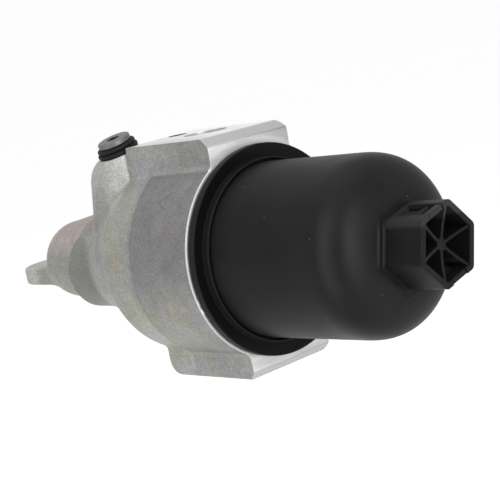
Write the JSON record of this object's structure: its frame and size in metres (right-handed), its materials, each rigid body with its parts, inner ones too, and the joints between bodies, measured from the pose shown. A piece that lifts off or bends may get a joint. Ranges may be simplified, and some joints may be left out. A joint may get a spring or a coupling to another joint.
{
  "type": "oil filter housing",
  "caption": "Cast aluminium oil filter housing with a screw-on moulded bowl over a pleated element, a hexagonal key end, valves and a sealed screw plug.",
  "frame": {"origin": "on the machined engine mounting face, above the bowl's axis, 14 mm behind the plane of the casting's front face", "axes": "+Z out of the mounting face towards the engine, +X along the bowl's axis from the casting to the bowl's hexagon"},
  "size_m": [0.2958, 0.0984, 0.1179],
  "materials": {
    "cast_aluminium": "fine mottled as-cast skin with machined faces",
    "black_moulding": "satin glass-filled moulding",
    "black_rubber": "matt",
    "tin_plate": "plated sheet",
    "filter_paper": "resin-cured pleated paper",
    "zinc_plated_steel": "dull zinc plate",
    "spring_steel": "bare wire"
  },
  "bodies": {
    "casting": {"housing": "cast_aluminium", "standpipe": "zinc_plated_steel", "bypass_seat": "zinc_plated_steel", "relief_stop_ring": "zinc_plated_steel", "inlet_valve_seat": "zinc_plated_steel", "inlet_valve_cage": "zinc_plated_steel"},
    "element_group": {"element_rear_cap": "tin_plate", "element_front_cap": "tin_plate", "element_core": "tin_plate", "element_paper": "filter_paper", "element_rear_grommet": "black_rubber"},
    "bowl_group": {"bowl": "black_moulding", "bowl_seal_ring": "black_rubber"},
    "plug_carrier": {"plug_seal": "black_rubber"},
    "plug_screw": {"plug": "zinc_plated_steel"},
    "bypass_valve": {"bypass_disc": "zinc_plated_steel", "bypass_spring": "spring_steel"},
    "relief_valve": {"relief_piston": "zinc_plated_steel", "relief_spring": "spring_steel"},
    "inlet_valve": {"inlet_valve_disc": "black_rubber", "inlet_valve_spring": "spring_steel"}
  },
  "joints": [
    {"name": "bowl_travel", "type": "slide", "parent": "casting", "child": "element_group", "axis": [1, 0, 0], "range_m": [0, 0.012]},
    {"name": "bowl_turn", "type": "hinge", "parent": "element_group", "child": "bowl_group", "pos_m": [0.05, 0, -0.056], "axis": [1, 0, 0], "range_deg": [0, 1081]},
    {"name": "plug_travel", "type": "slide", "parent": "casting", "child": "plug_carrier", "axis": [0, -0.2588, 0.9659], "range_m": [0, 0.009]},
    {"name": "plug_turn", "type": "hinge", "parent": "plug_carrier", "child": "plug_screw", "pos_m": [-0.0562, -0.01975, -0.002], "axis": [0, -0.2588, 0.9659], "range_deg": [0, 2162]},
    {"name": "bypass_lift", "type": "slide", "parent": "casting", "child": "bypass_valve", "axis": [-1, 0, 0], "range_m": [0, 0.005], "stiffness_N_per_m": 700, "springref_m": -0.006, "deforming": ["bypass_spring"]},
    {"name": "relief_lift", "type": "slide", "parent": "casting", "child": "relief_valve", "axis": [-1, 0, 0], "range_m": [0, 0.008], "stiffness_N_per_m": 900, "springref_m": -0.008, "deforming": ["relief_spring"]},
    {"name": "inlet_valve_lift", "type": "slide", "parent": "casting", "child": "inlet_valve", "axis": [0, 0, -1], "range_m": [0, 0.0022], "stiffness_N_per_m": 60, "springref_m": -0.003, "deforming": ["inlet_valve_spring"]}
  ],
  "couplings": [
    {"joint": "bowl_turn", "follows": "bowl_travel", "rad_per_m": 1570.8},
    {"joint": "plug_turn", "follows": "plug_travel", "rad_per_m": 4188.8}
  ]
}
